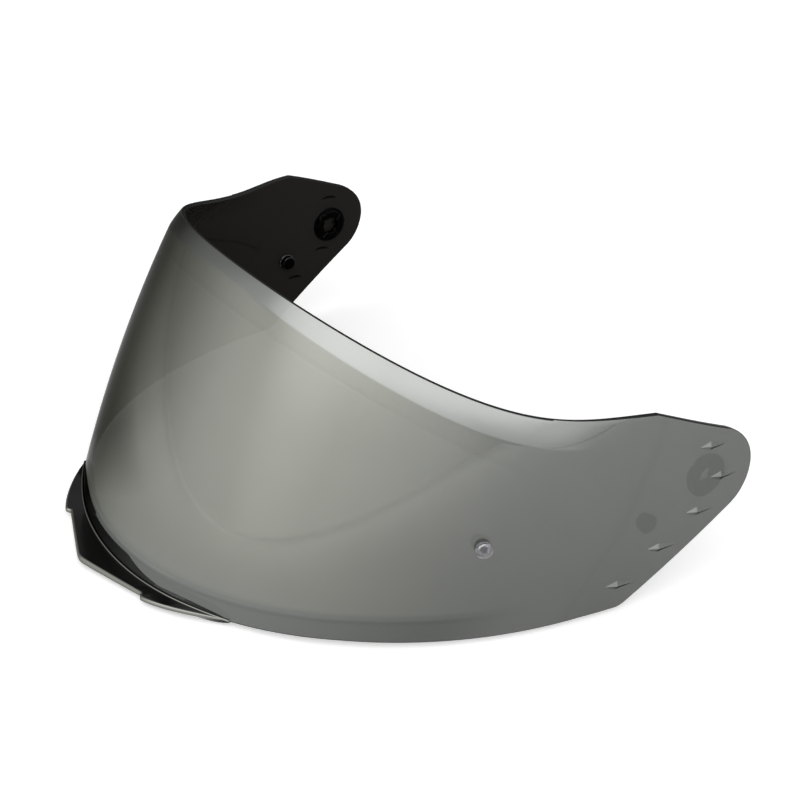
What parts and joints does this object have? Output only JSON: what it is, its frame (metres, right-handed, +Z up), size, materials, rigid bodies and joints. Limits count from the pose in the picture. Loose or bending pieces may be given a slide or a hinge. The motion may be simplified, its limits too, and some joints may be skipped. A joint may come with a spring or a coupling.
{
  "type": "motorcycle helmet visor",
  "caption": "Wrap-around mirrored helmet visor with side ears, inner pivot rings and guide posts, turning eccentric lens pins and a black chin ledge.",
  "frame": {"origin": "on the ground under the middle of the visor, which rests on its chin ledge", "axes": "+Z up, the front of the lens faces -Y, +X is the wearer's left"},
  "size_m": [0.2606, 0.2036, 0.1091],
  "materials": {
    "mirror_coat": "silver mirror coating over smoke-tinted clear plastic",
    "black_gloss": "moulded gloss",
    "clear_plastic": "clear moulded"
  },
  "bodies": {
    "visor": {"shield": "mirror_coat", "chin_ledge": "black_gloss", "pivot_hub_left": "black_gloss", "pivot_hub_right": "black_gloss", "guide_post_left": "black_gloss", "guide_post_right": "black_gloss"},
    "pin_left": {"pin_stud_left": "black_gloss", "pin_head_left": "clear_plastic"},
    "pin_right": {"pin_stud_right": "black_gloss", "pin_head_right": "clear_plastic"}
  },
  "joints": [
    {"name": "pin_left_turn", "type": "hinge", "parent": "visor", "child": "pin_left", "pos_m": [0.1113, -0.00198, 0.0371], "axis": [0.8893, -0.4456, 0.1034], "continuous": true},
    {"name": "pin_right_turn", "type": "hinge", "parent": "visor", "child": "pin_right", "pos_m": [-0.1113, -0.00198, 0.0371], "axis": [-0.8893, -0.4456, 0.1034], "continuous": true}
  ]
}
